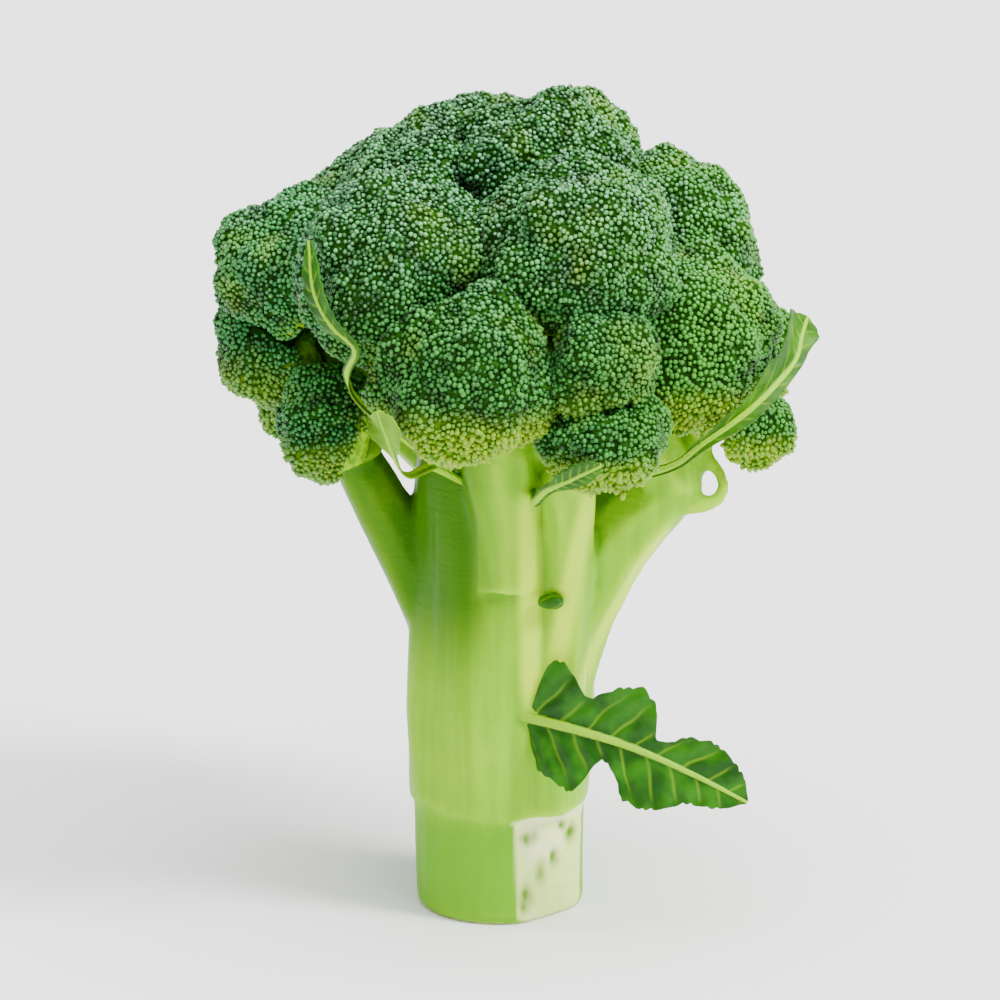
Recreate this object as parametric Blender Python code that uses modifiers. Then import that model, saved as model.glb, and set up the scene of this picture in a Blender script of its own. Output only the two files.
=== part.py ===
"""A broccoli head, cut with a short stalk and standing on its cut end.

The stalk is a fluted trunk that forks into one branch for each floret. Each floret is a lobed dome
covered with buds, over a cone that narrows to its branch. A few small leaves are left on the stalk
and under the crown. X runs to the right, Y away from the viewer and Z up, from the middle of the cut.
"""

import math

import bmesh
import bpy
from mathutils import Matrix, Vector

MM = 0.001
GAP = 0.5  # clearance between neighbouring solids, in millimetres

# The stalk: height and radius of the trunk's outline, in millimetres, from the cut to its hidden top.
TRUNK_OUTLINE = [
    (0.0, 16.9),
    (1.2, 17.8),
    (23.0, 18.2),
    (24.0, 19.2),
    (44.0, 19.8),
    (70.0, 18.6),
    (92.0, 17.6),
    (112.0, 15.5),
    (122.0, 10.0),
]
TRUNK_SIDES = 24
BALL_SIDES = 10
BALL_RINGS = 6
BRANCH_CORE = Vector((3.0, 2.0, 88.0))  # where the lines of the florets' axes meet

# The florets: middle of the dome (x, y, z) and its radius, in millimetres.
FLORETS = {
    "floret_top_left": (-12, 5, 145, 25.0),
    "floret_top_right": (9, 1, 150.5, 25.0),
    "floret_top_back": (-2, 20, 146.5, 25.0),
    "floret_shoulder_right": (30, 5.5, 137, 24.5),
    "floret_shoulder_back": (26, 27, 130, 23.0),
    "floret_upper_left": (-19, -20, 140, 23.0),
    "floret_upper_front": (15, -23, 144, 22.5),
    "floret_front": (-6, -35, 124, 21.0),
    "floret_low_front": (20.5, -36, 111, 14.0),
    "floret_right": (35, -14, 125, 22.5),
    "floret_far_right": (41, 6, 118, 20.0),
    "floret_low_right": (49, -3, 106.5, 12.0),
    "floret_left_high": (-41, 3, 135.5, 18.5),
    "floret_left": (-44, 5, 122, 16.0),
    "floret_low_left": (-35, -11, 107, 12.5),
    "floret_back_left": (-23, 27, 136, 23.0),
    "floret_back": (4, 41, 127, 23.0),
    "floret_back_right": (33, 30, 115, 20.5),
    "floret_low_back_left": (-36, 28, 111, 20.0),
    "floret_low_back": (-11, 42, 105, 19.0),
    "floret_low_back_right": (17, 43, 103, 18.0),
    "floret_mid_front": (19, -36, 126.5, 14.5),
}
BUD_SPACING = 4.9
BUD_HEIGHT = 1.9
HIDDEN_KEEP = 8  # one point in this many stays where a neighbour covers the dome
LOBE_COUNT = 26  # lobes over a whole dome, were it a ball
LOBE_REACH = math.radians(26)  # from a lobe's middle to the crease round it
LOBE_DEPTH = 0.10
CONE_APEX = 1.30  # below the dome's middle, in radii
CONE_ANGLE = math.radians(38)
NECK_DEPTH = 0.86  # below the dome's middle, in radii
GOLDEN_ANGLE = math.pi * (3 - math.sqrt(5))

# The limbs that the trunk forks into: three points along each and the radius there, in millimetres.
LIMBS = {
    "limb_right": ((4, -3, 36), (20, -5, 77), (35, -5, 93), (11.0, 9.5, 7.5)),
    "limb_left": ((-6, 1, 50), (-22, 1, 82), (-31.5, 2, 99), (9.0, 6.0, 5.2)),
    "limb_front": ((1, -13.8, 74), (1, -16.5, 90), (-1, -19, 104), (8.0, 7.8, 8.4)),
    "limb_front_right": ((11, -9, 46), (14, -14, 78), (14, -20, 97), (7.5, 6.0, 5.8)),
    "limb_back": ((0, 6, 38), (0, 13, 68), (1, 22, 90), (11.5, 10.0, 8.5)),
    "limb_back_left": ((-7, 6, 45), (-9, 13, 75), (-11, 19, 92), (10.0, 8.5, 7.0)),
    "limb_back_right": ((7, 5, 42), (13, 11, 72), (18, 16, 92), (10.0, 8.5, 7.5)),
}
# The limb that carries each floret. The others rise from the middle of the trunk.
CARRIED_BY = {
    "floret_right": "limb_right",
    "floret_far_right": "limb_right",
    "floret_low_right": "limb_right",
    "floret_left_high": "limb_left",
    "floret_left": "limb_left",
    "floret_low_left": "limb_left",
    "floret_front": "limb_front",
    "floret_low_front": "limb_front_right",
    "floret_back": "limb_back",
    "floret_low_back": "limb_back",
    "floret_low_back_right": "limb_back",
    "floret_low_back_left": "limb_back_left",
    "floret_back_right": "limb_back_right",
}
MIDDLE_FORK = 100.0  # height where the middle florets' stems part
FORK_SPREAD = 0.45  # how far out they part, as a share of the way to the neck
NECK_OVERRUN = 2.0  # a stem runs this far into its floret before it is trimmed to it
TRIM = 0.6  # clearance where the stalk is trimmed round a floret or the side bud
LEAF_SOCKET = 5.0  # width of the hollow in the stalk round the root of a leaf
FLAT = math.radians(1)  # faces this close to one plane are joined

# The cut across the base of a lost leaf, at the front right of the stalk's foot
SCAR_DIRECTION = math.radians(-48)
SCAR_DISTANCE = 15.6
SCAR_TOP = 23.4
SCAR_BOX = 12.0

# The leaves: points of the midrib in millimetres, the way the blade spreads from it, the fold and the
# wave (height and length) of the blade, and half the width on each side at distances along it.
BLADE_THICKNESS = 0.9
RIB_THICKNESS = 2.2
LEAVES = {
    "leaf_low_right": {
        "midrib": (
            (5.5, -19.5, 46.0), (16.5, -23.5, 45.0), (28, -26.5, 42), (40, -28.5, 37), (51, -30, 31.5),
        ),
        "spread": (0.12, 0.10, 1.0),
        "fold": 6,
        "wave": (0.9, 9.0),
        "upper": (
            (0, 1.3), (1.5, 8.0), (3.0, 13.0), (5.5, 13.4), (8.0, 10.5), (10.5, 6.8), (15.5, 11.2),
            (20.0, 13.0), (23.4, 9.8), (25.0, 3.4), (27.5, 3.8), (30.0, 6.6), (34.6, 8.0),
            (39.5, 6.7), (43.5, 4.4), (46.3, 1.2),
        ),
        "lower": (
            (0, 1.3), (1.5, 5.0), (4.0, 10.4), (8.5, 12.0), (11.5, 13.2), (14.0, 9.8), (15.5, 5.4),
            (17.0, 4.4), (20.0, 6.0), (23.4, 10.8), (28.0, 11.1), (32.3, 9.2), (35.5, 6.1),
            (39.5, 5.0), (43.5, 3.3), (46.3, 1.2),
        ),
    },
    "leaf_right": {
        "midrib": (
            (21, -16.8, 95.6), (29, -22.5, 99.5), (36, -29, 103.6), (41, -33.5, 108.8), (48.9, -34, 114.6),
            (54.6, -31, 119.2), (59.7, -24, 123.6), (61.4, -18.5, 127.8), (62.7, -14, 130.4),
        ),
        "spread": (-0.5, 0.4, 0.8),
        "fold": 12,
        "wave": (0.5, 11.0),
        "upper": (
            (0, 1.1), (17, 1.3), (25, 2.6), (33, 3.2), (41, 5.2), (49, 6.4), (57, 6.6), (64, 5.4), (69.2, 1.2),
        ),
        "lower": (
            (0, 1.1), (17, 1.3), (25, 1.6), (33, 2.4), (41, 2.2), (49, 1.8), (57, 3.0), (64, 4.4), (69.2, 1.2),
        ),
    },
    "leaf_left": {
        "midrib": (
            (-11, -15.5, 97.5), (-20, -21, 107), (-28, -30, 117), (-30.5, -39, 124.5), (-28.8, -44.6, 131),
            (-33.8, -42.6, 135.8), (-37, -39.8, 142), (-38, -35.5, 151),
        ),
        "spread": (-0.7, 0.7, -0.2),
        "fold": 0,
        "wave": (0.4, 8.0),
        "upper": ((0, 1.1), (42, 1.1), (50, 2.0), (58, 2.8), (66, 3.2), (72, 2.6), (75.9, 1.1)),
        "lower": ((0, 1.1), (42, 1.1), (50, 1.8), (58, 2.4), (66, 2.8), (72, 2.2), (75.9, 1.1)),
    },
    "bract_left": {
        "midrib": (
            (-9, -20.2, 97), (-14, -27.5, 102.5), (-17.5, -38, 105), (-20.5, -47, 109.5), (-22.5, -50.5, 115),
            (-23.5, -50.5, 120),
        ),
        "spread": (-0.5, 0.6, -0.6),
        "fold": 0,
        "wave": (0.6, 3.5),
        "upper": ((0, 1.0), (26, 1.1), (31, 3.4), (37, 4.6), (42, 3.6), (44.4, 1.4)),
        "lower": ((0, 1.0), (26, 1.1), (31, 3.0), (37, 4.2), (42, 3.4), (44.4, 1.4)),
    },
    "bract_low": {
        "midrib": ((7.5, -24.5, 96), (7, -35, 97), (9.5, -46, 102.5), (14, -51.5, 106), (20, -53.5, 109.5)),
        "spread": (-0.2, -0.5, 0.8),
        "fold": 0,
        "wave": (0.4, 5.0),
        "upper": ((0, 1.0), (20, 1.1), (26, 2.6), (32, 3.2), (37, 2.0), (39, 1.0)),
        "lower": ((0, 1.0), (20, 1.1), (26, 2.0), (32, 2.6), (37, 1.7), (39, 1.0)),
    },
}
BLADE_COLUMNS = (-1.0, -0.3, 0.0, 0.3, 1.0)
LONGEST_STEP = 7.0  # between two stations along a leaf
LEAF_CLEARANCE = 1.8  # from a leaf's middle layer to a floret's buds or the trunk

# The side bud in the axil of the front limb's lost leaf
SIDE_BUD_PLACE = (10.5, -19.4, 71.5)
SIDE_BUD_SIZE = (5.4, 3.6, 3.0)


def cleared_collection(name):
    """Empties the scene and gives a collection for the object."""
    for old in list(bpy.data.objects):
        bpy.data.objects.remove(old, do_unlink=True)
    made = bpy.data.collections.new(name)
    bpy.context.scene.collection.children.link(made)
    return made


def plant_material(name, red, green, blue, roughness):
    """A Principled material in one plain colour."""
    made = bpy.data.materials.new(name)
    made.use_nodes = True
    shader = made.node_tree.nodes["Principled BSDF"]
    shader.inputs["Base Color"].default_value = (red, green, blue, 1)
    shader.inputs["Roughness"].default_value = roughness
    shader.inputs["Metallic"].default_value = 0
    made.diffuse_color = (red, green, blue, 1)
    return made


def object_from(bm, name, collection, material=None):
    """A smooth-shaded object from a bmesh that is in millimetres."""
    bmesh.ops.scale(bm, vec=(MM, MM, MM), verts=bm.verts)
    mesh = bpy.data.meshes.new(name)
    bm.to_mesh(mesh)
    bm.free()
    mesh.shade_smooth()
    if material:
        mesh.materials.append(material)
    made = bpy.data.objects.new(name, mesh)
    collection.objects.link(made)
    return made


def ball(name, middle, size, collection, material=None):
    """A ball or an egg, in millimetres."""
    bm = bmesh.new()
    bmesh.ops.create_uvsphere(bm, u_segments=BALL_SIDES, v_segments=BALL_RINGS, radius=0.5)
    bmesh.ops.scale(bm, vec=size, verts=bm.verts)
    bmesh.ops.translate(bm, vec=middle, verts=bm.verts)
    return object_from(bm, name, collection, material)


def tube(name, points, radii, collection):
    """A closed tube in millimetres along smooth points, as a mesh with its caps welded on."""
    curve = bpy.data.curves.new(name, "CURVE")
    curve.dimensions = "3D"
    curve.bevel_depth = MM
    curve.bevel_resolution = 2
    curve.resolution_u = 4
    curve.use_fill_caps = True
    spline = curve.splines.new("BEZIER")
    spline.bezier_points.add(len(points) - 1)
    for point, place, radius in zip(spline.bezier_points, points, radii):
        point.co = Vector(place) * MM
        point.radius = radius
        point.handle_left_type = point.handle_right_type = "AUTO"
    guide = bpy.data.objects.new(name, curve)
    collection.objects.link(guide)
    bpy.context.view_layer.update()
    mesh = bpy.data.meshes.new_from_object(guide.evaluated_get(bpy.context.evaluated_depsgraph_get()))
    bpy.data.objects.remove(guide, do_unlink=True)
    bm = bmesh.new()
    bm.from_mesh(mesh)
    bmesh.ops.remove_doubles(bm, verts=bm.verts, dist=0.00001)
    bm.to_mesh(mesh)
    bm.free()
    made = bpy.data.objects.new(name, mesh)
    collection.objects.link(made)
    return made


def boolean(target, operation, cutters):
    """Joins or cuts the target with every object of a collection, and removes them."""
    modifier = target.modifiers.new("join", "BOOLEAN")
    modifier.operation = operation
    modifier.operand_type = "COLLECTION"
    modifier.collection = cutters
    modifier.solver = "MANIFOLD"
    bpy.context.view_layer.update()
    done = bpy.data.meshes.new_from_object(target.evaluated_get(bpy.context.evaluated_depsgraph_get()))
    target.modifiers.clear()
    target.data = done
    for used in list(cutters.objects):
        bpy.data.objects.remove(used, do_unlink=True)


def floret_axis(middle):
    return (middle - BRANCH_CORE).normalized()


def spiral(count, out, turn):
    """Directions spread evenly over a ball on a golden-angle spiral that starts at out."""
    side = out.orthogonal().normalized()
    for i in range(count):
        height = 1 - (2 * i + 1) / count
        wide = math.sqrt(1 - height * height)
        angle = turn + i * GOLDEN_ANGLE
        across = side * math.cos(angle) + out.cross(side) * math.sin(angle)
        yield out * height + across * wide


def dome_radius(direction, radius, lobes):
    """The dome's own surface: rounded lobes, with a crease between each and the next."""
    nearest = math.acos(min(1.0, max(direction.dot(lobe) for lobe in lobes)))
    share = min(1.0, nearest / LOBE_REACH)
    return radius * (1 - LOBE_DEPTH * share * share)


def dome_limit(direction, middle, radius, out, neighbours):
    """How far the floret may reach this way: to its cone, its neck and the walls it shares."""
    along = direction.dot(out)
    across = math.sqrt(max(0.0, 1 - along * along))
    reach = 10 * radius
    slope = math.tan(CONE_ANGLE)
    if across > along * slope:
        reach = min(reach, CONE_APEX * radius * slope / (across - along * slope))
    if along < 0:
        reach = min(reach, NECK_DEPTH * radius / -along)
    for other_middle, other_radius in neighbours:
        apart = other_middle - middle
        distance = apart.length
        facing = direction.dot(apart) / distance
        if facing > 1e-6:
            wall = (distance**2 + radius**2 - other_radius**2) / (2 * distance) - GAP / 2
            reach = min(reach, wall / facing)
    return reach


def build_floret(name, number, material, collection):
    """A dome of buds on a golden-angle spiral, clipped where its neighbours press on it."""
    x, y, z, radius = FLORETS[name]
    middle = Vector((x, y, z))
    out = floret_axis(middle)
    turn = number * GOLDEN_ANGLE
    lobes = list(spiral(LOBE_COUNT, out, -turn))
    neighbours = [(Vector(f[:3]), f[3]) for n, f in FLORETS.items() if n != name]
    count = round(4 * math.pi * radius**2 / (BUD_SPACING**2 * math.sqrt(3) / 2))

    bm = bmesh.new()
    for i, direction in enumerate(spiral(count, out, turn)):
        limit = dome_limit(direction, middle, radius, out, neighbours)
        bare = limit < dome_radius(direction, radius, lobes)
        if not bare or i % HIDDEN_KEEP == 0:
            bm.verts.new(direction).tag = not bare
    buds = {vert for vert in bm.verts if vert.tag}
    bmesh.ops.convex_hull(bm, input=bm.verts)

    budded = {face for face in bm.faces if buds.intersection(face.verts)}
    between = [edge for edge in bm.edges if budded.issuperset(edge.link_faces)]
    bmesh.ops.poke(bm, faces=list(budded))
    bmesh.ops.rotate_edges(bm, edges=between, use_ccw=False)

    for vert in bm.verts:
        direction = vert.co.normalized()
        reach = dome_radius(direction, radius, lobes) + BUD_HEIGHT * (vert in buds)
        reach = min(reach, dome_limit(direction, middle, radius, out, neighbours))
        vert.co = middle + direction * reach
    bmesh.ops.recalc_face_normals(bm, faces=bm.faces)
    return object_from(bm, name, collection, material)


def build_trunk(material, collection):
    """The trunk, a turned outline."""
    bm = bmesh.new()
    outline = [(0.0, 0.0)] + [(r, z) for z, r in TRUNK_OUTLINE] + [(0.0, TRUNK_OUTLINE[-1][0])]
    verts = [bm.verts.new((r, 0, z)) for r, z in reversed(outline)]
    for first, second in zip(verts, verts[1:]):
        bm.edges.new((first, second))
    trunk = object_from(bm, "stalk", collection, material)
    turned = trunk.modifiers.new("turn", "SCREW")
    turned.steps = turned.render_steps = TRUNK_SIDES
    turned.use_merge_vertices = True
    turned.merge_threshold = 0.00002
    bpy.context.view_layer.update()
    done = bpy.data.meshes.new_from_object(trunk.evaluated_get(bpy.context.evaluated_depsgraph_get()))
    trunk.modifiers.clear()
    trunk.data = done
    return trunk


def build_limbs(collection):
    """The thick limbs and, from each, the stems that end in the florets."""
    for name, (root, middle, fork, radii) in LIMBS.items():
        tube(name, (root, middle, fork), radii, collection)
        ball(name + "_end", fork, [2 * radii[-1]] * 3, collection)
    for name, (x, y, z, radius) in FLORETS.items():
        middle = Vector((x, y, z))
        out = floret_axis(middle)
        neck = middle - out * (NECK_DEPTH * radius - NECK_OVERRUN)
        thin = (CONE_APEX - NECK_DEPTH) * radius * math.tan(CONE_ANGLE)
        if name in CARRIED_BY:
            fork, radii = LIMBS[CARRIED_BY[name]][2:]
            root = Vector(fork)
            thick = max(radii[-1] * 0.9, thin)
        else:
            root = Vector((neck.x * FORK_SPREAD, neck.y * FORK_SPREAD, MIDDLE_FORK))
            thick = thin * 1.15
        tube("stem_" + name, (root, neck), (thick, thin), collection)


def trim_to_floret(stalk, floret, cutters):
    """Cuts the stalk back with a slightly larger copy of the floret, moved down its axis."""
    x, y, z, radius = FLORETS[floret.name]
    middle = Vector((x, y, z)) * MM
    out = floret_axis(Vector((x, y, z)))
    larger = Matrix.Scale(1 + TRIM / radius, 4)
    copy = bpy.data.objects.new(floret.name + "_trim", floret.data.copy())
    copy.data.transform(Matrix.Translation(middle - out * TRIM * MM) @ larger @ Matrix.Translation(-middle))
    cutters.objects.link(copy)
    boolean(stalk, "DIFFERENCE", cutters)


def clean_body(obj):
    """Joins the faces that lie in one plane, and drops the loose scraps that trimming leaves."""
    bm = bmesh.new()
    bm.from_mesh(obj.data)
    bmesh.ops.dissolve_limit(bm, angle_limit=FLAT, verts=bm.verts, edges=bm.edges)
    bmesh.ops.triangulate(bm, faces=bm.faces)
    unseen = set(bm.verts)
    pieces = []
    while unseen:
        piece, front = set(), {unseen.pop()}
        while front:
            piece |= front
            front = {edge.other_vert(vert) for vert in front for edge in vert.link_edges} - piece
        unseen -= piece
        pieces.append(piece)
    pieces.sort(key=len)
    for piece in pieces[:-1]:
        bmesh.ops.delete(bm, geom=list(piece), context="VERTS")
    for face in bm.faces:
        face.material_index = 0
        face.smooth = True
    bm.to_mesh(obj.data)
    bm.free()
    while len(obj.data.materials) > 1:
        obj.data.materials.pop()


def build_stalk(florets, material, collection):
    """The trunk, limbs and stems as one body, trimmed to clear the florets and the leaves' roots."""
    trunk = build_trunk(material, collection)
    joined = bpy.data.collections.new("limbs")
    bpy.context.scene.collection.children.link(joined)
    build_limbs(joined)
    boolean(trunk, "UNION", joined)

    bm = bmesh.new()
    bmesh.ops.create_cube(bm, size=1)
    bmesh.ops.scale(bm, vec=(SCAR_BOX, 60, SCAR_TOP + 5), verts=bm.verts)
    place = Vector((SCAR_DISTANCE + SCAR_BOX / 2, 0, (SCAR_TOP - 5) / 2))
    bm.transform(Matrix.Rotation(SCAR_DIRECTION, 4, "Z") @ Matrix.Translation(place))
    object_from(bm, "scar_cutter", joined)
    boolean(trunk, "DIFFERENCE", joined)

    for floret in florets:
        trim_to_floret(trunk, floret, joined)
    for leaf in LEAVES.values():
        ball("leaf_socket", leaf["midrib"][0], [LEAF_SOCKET] * 3, joined)
        boolean(trunk, "DIFFERENCE", joined)
    ball("bud_socket", SIDE_BUD_PLACE, [side + 2 * TRIM for side in SIDE_BUD_SIZE], joined)
    boolean(trunk, "DIFFERENCE", joined)
    clean_body(trunk)
    return trunk


def trunk_radius(z):
    """The radius of the trunk's outline at a height."""
    for (low, first), (high, second) in zip(TRUNK_OUTLINE, TRUNK_OUTLINE[1:]):
        if low <= z <= high:
            return first + (second - first) * (z - low) / (high - low)
    return 0.0


def clear_of_plant(point, clearance):
    """Moves a leaf's point outwards until it clears the trunk and every floret's dome."""
    for _ in range(3):
        for x, y, z, radius in FLORETS.values():
            away = point - Vector((x, y, z))
            least = radius + BUD_HEIGHT + clearance
            if away.length < least:
                point = Vector((x, y, z)) + away.normalized() * least
        around = Vector((point.x, point.y, 0))
        least = trunk_radius(point.z) + clearance
        if around.length < least and point.z < LIMBS["limb_front"][0][2]:
            point = around.normalized() * least + Vector((0, 0, point.z))
    return point


def width_at(outline, distance):
    """Half the blade's width at a distance along the midrib."""
    for (first, narrow), (second, wide) in zip(outline, outline[1:]):
        if first <= distance <= second:
            return narrow + (wide - narrow) * (distance - first) / (second - first)
    return outline[-1][1]


def smooth_path(points, share):
    """A point of the smooth line through the points, and the way it runs there."""
    points = [Vector(point) for point in points]
    points = [points[0] * 2 - points[1]] + points + [points[-1] * 2 - points[-2]]
    at = min(share, 1 - 1e-9) * (len(points) - 3)
    i = int(at)
    t = at - i
    before, start, end, after = points[i : i + 4]
    first = (end - before) / 2
    second = before - start * 2.5 + end * 2 - after / 2
    third = (start - end) * 1.5 + (after - before) / 2
    place = start + first * t + second * t**2 + third * t**3
    along = first + second * 2 * t + third * 3 * t**2
    return place, along.normalized()


def leaf_stations(leaf):
    """The outline's own distances along the leaf, and more where they lie far apart."""
    stations = sorted({distance for distance, _ in leaf["upper"] + leaf["lower"]})
    made = [stations[0]]
    for station in stations[1:]:
        gap = station - made[-1]
        extra = math.ceil(gap / LONGEST_STEP)
        made += [made[-1] + gap * (i + 1) / extra for i in range(extra)]
    return made


def leaf_row(leaf, station):
    """The points across the blade at one distance along it."""
    length = leaf["upper"][-1][0]
    point, along = smooth_path(leaf["midrib"], station / length)
    spread = Vector(leaf["spread"])
    spread = (spread - along * spread.dot(along)).normalized()
    lift = along.cross(spread)
    fold = math.radians(leaf["fold"])
    height, period = leaf["wave"]
    for column in BLADE_COLUMNS:
        width = width_at(leaf["upper"] if column > 0 else leaf["lower"], station) * abs(column)
        wave = height * column * column * math.sin(math.tau * station / period + column)
        across = math.copysign(width, column) * math.cos(fold)
        place = point + spread * across + lift * (width * math.sin(fold) + wave)
        yield clear_of_plant(place, LEAF_CLEARANCE) if station > 0 else place


def build_leaf(name, material, collection):
    """A thin blade with a cut and waved edge, thicker along the midrib that it hangs on."""
    leaf = LEAVES[name]
    bm = bmesh.new()
    rows = [[bm.verts.new(point) for point in leaf_row(leaf, s)] for s in leaf_stations(leaf)]
    for first, second in zip(rows, rows[1:]):
        for i in range(len(BLADE_COLUMNS) - 1):
            bm.faces.new((first[i], second[i], second[i + 1], first[i + 1]))
    bmesh.ops.triangulate(bm, faces=bm.faces)
    bm.verts.index_update()
    middle = BLADE_COLUMNS.index(0)
    ribs = [row[middle].index for row in rows]
    blade = object_from(bm, name, collection, material)
    group = blade.vertex_groups.new(name="midrib")
    for i, rib in enumerate(ribs):
        group.add([rib], 1 - i / len(ribs), "REPLACE")
    thickness = blade.modifiers.new("thickness", "SOLIDIFY")
    thickness.thickness = RIB_THICKNESS * MM
    thickness.thickness_vertex_group = BLADE_THICKNESS / RIB_THICKNESS
    thickness.vertex_group = group.name
    thickness.offset = 0
    bpy.context.view_layer.update()
    done = bpy.data.meshes.new_from_object(blade.evaluated_get(bpy.context.evaluated_depsgraph_get()))
    blade.modifiers.clear()
    blade.vertex_groups.clear()
    blade.data = done
    return blade


def main():
    broccoli = cleared_collection("broccoli_head")
    stalk_green = plant_material("stalk_green", 0.36, 0.56, 0.06, 0.45)
    bud_green = plant_material("bud_green", 0.05, 0.16, 0.04, 0.5)
    leaf_green = plant_material("leaf_green", 0.09, 0.30, 0.04, 0.45)
    florets = [build_floret(name, i, bud_green, broccoli) for i, name in enumerate(FLORETS)]
    build_stalk(florets, stalk_green, broccoli)
    for name in LEAVES:
        build_leaf(name, leaf_green, broccoli)
    ball("side_bud", SIDE_BUD_PLACE, SIDE_BUD_SIZE, broccoli, leaf_green)


main()
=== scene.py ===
"""The looks of a broccoli head that stands on its cut end.

Lengths in the tables are millimetres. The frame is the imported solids' own: X to the right, Y away from
the camera and Z up, from the middle of the cut.
"""

import math

import bmesh
import bpy
import numpy as np
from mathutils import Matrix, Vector, noise


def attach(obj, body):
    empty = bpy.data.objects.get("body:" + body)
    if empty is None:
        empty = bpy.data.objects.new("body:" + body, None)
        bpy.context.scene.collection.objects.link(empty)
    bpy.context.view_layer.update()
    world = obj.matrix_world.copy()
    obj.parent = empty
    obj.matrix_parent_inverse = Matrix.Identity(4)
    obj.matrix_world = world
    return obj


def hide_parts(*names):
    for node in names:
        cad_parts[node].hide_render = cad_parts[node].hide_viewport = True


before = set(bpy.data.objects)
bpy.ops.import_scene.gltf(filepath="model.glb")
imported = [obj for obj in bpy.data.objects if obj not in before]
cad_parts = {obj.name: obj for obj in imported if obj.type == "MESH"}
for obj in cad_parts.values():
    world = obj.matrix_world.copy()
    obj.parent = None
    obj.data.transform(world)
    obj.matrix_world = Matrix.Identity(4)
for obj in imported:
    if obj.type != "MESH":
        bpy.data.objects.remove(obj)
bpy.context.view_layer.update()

# The stalk
# The main stem of the plant: one piece of crisp, juicy flesh under a thin waxy skin. It grew as a trunk
# that forks into limbs and stems, and was cut straight across at the foot. A wavy ledge rings the foot
# where leaves were broken off, and one leaf base was sliced away, which left a pale flat scar.

MM = 0.001
STALK_VOXEL = 0.75
STALK_SMOOTHING = 9
LEDGE_HEIGHT = 24.0
LEDGE_REACH = 7.0  # how far above and below the ledge its waves are felt
LEDGE_WAVES = ((0.8, 2, 0.9), (0.45, 5, 1.3), (0.25, 9, 0.0))  # height, number round the stalk, turn
SCAR_FACING = math.radians(-48)
SCAR_DEPTH = 15.6  # from the stalk's middle line
SCAR_TOP = 23.4
SCAR_WAVES = 0.35  # height of the sliced flesh's uneven surface
SCAR_PIT = 0.6  # how deep the strands sink into it
# Strands of the lost leaf's veins in the scar: across, up, half width, half height.
SCAR_STRANDS = (
    (6.1, 17.2, 1.3, 2.2),
    (1.5, 12.6, 1.2, 1.9),
    (-2.3, 10.4, 1.2, 2.4),
    (-6.6, 5.6, 1.9, 3.0),
    (3.6, 19.6, 1.6, 1.2),
    (-5.6, 18.6, 2.2, 1.6),
)
STRAND_FRAYING = 0.7  # how uneven the strands' edges are
STRAND_FRAY_SIZE = (1.6, 1.6, 2.4)
# A branchlet that curls from the end of the right limb back up to the crown: points and radii.
CURLED_BRANCHLET = (
    ((37.0, -8.0, 89.5), 2.6),
    ((41.5, -8.5, 89.3), 1.9),
    ((45.3, -8.2, 90.6), 1.4),
    ((46.2, -7.0, 93.3), 1.2),
    ((45.0, -5.5, 96.2), 1.3),
    ((43.0, -4.0, 98.0), 1.6),
)
# The swollen base of the low leaf's stem: points and radii.
LEAF_BASE = (
    ((-2.0, -11.5, 48.0), 4.2),
    ((3.0, -15.3, 46.9), 2.7),
    ((7.5, -17.9, 46.2), 1.6),
    ((12.0, -20.2, 45.6), 0.5),
)
# Painted highlight bands up the front, partly pale wax: across at the foot and at the top, half width,
# from and to what height.
PALE_BANDS = (
    ((6.5, 5.8), 2.6, (50, 94)),
    ((10.5, 19.0), 2.4, (44, 96)),
    ((17.5, 34.0), 1.8, (50, 84)),
)
FLUTES = 7  # ribs round the trunk, where the strands to the limbs run
FLUTE_HEIGHT = 0.55
FLUTE_TWIST = 0.03  # radians a millimetre
FLUTE_WANDER = 1.1
FLUTE_START = (26, 40)  # heights between which the flutes rise
FLUTE_END = (96, 80)  # and between which they end
CUT_KEPT_FLAT = (1.5, 6.0)  # heights between which the relief sets in above the cut
BULGE_HEIGHT = 0.45
BULGE_SIZE = (16, 16, 40)
STREAK_HEIGHT = 0.14
STREAK_SIZE = (2.6, 2.6, 30)
NARROW_RIDGES = 12  # rounds of smoothing that find narrow ridges
BROAD_RIDGES = 60
# The side of the limbs that the crown keeps the light off: limits across, away from the camera and up.
SHADED_SIDE = ((1, -8), (14, 0), (46, 72))
FOOT_DARKENS = (0.026, 0.018)  # heights in metres between which the foot turns deeper green


def merged_copy(node, name):
    """A new piece with a solid's mesh, its loose triangles joined at their corners."""
    bm = bmesh.new()
    bm.from_mesh(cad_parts[node].data)
    bmesh.ops.remove_doubles(bm, verts=bm.verts, dist=1e-6)
    mesh = bpy.data.meshes.new(name)
    bm.to_mesh(mesh)
    bm.free()
    piece = bpy.data.objects.new(name, mesh)
    bpy.context.scene.collection.objects.link(piece)
    return piece


def settle(piece):
    """Puts what the modifiers of a piece make into its mesh, and takes the modifiers off."""
    bpy.context.view_layer.update()
    graph = bpy.context.evaluated_depsgraph_get()
    done = bpy.data.meshes.new_from_object(piece.evaluated_get(graph))
    piece.modifiers.clear()
    piece.data = done


def regrow(piece, voxel, rounds):
    """Gives a piece an even mesh with its corners rounded off, as flesh under a skin has."""
    remesh = piece.modifiers.new("even mesh", "REMESH")
    remesh.mode = "VOXEL"
    remesh.voxel_size = voxel * MM
    smooth = piece.modifiers.new("rounding", "SMOOTH")
    smooth.factor = 0.5
    smooth.iterations = rounds
    settle(piece)
    piece.data.shade_smooth()


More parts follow.
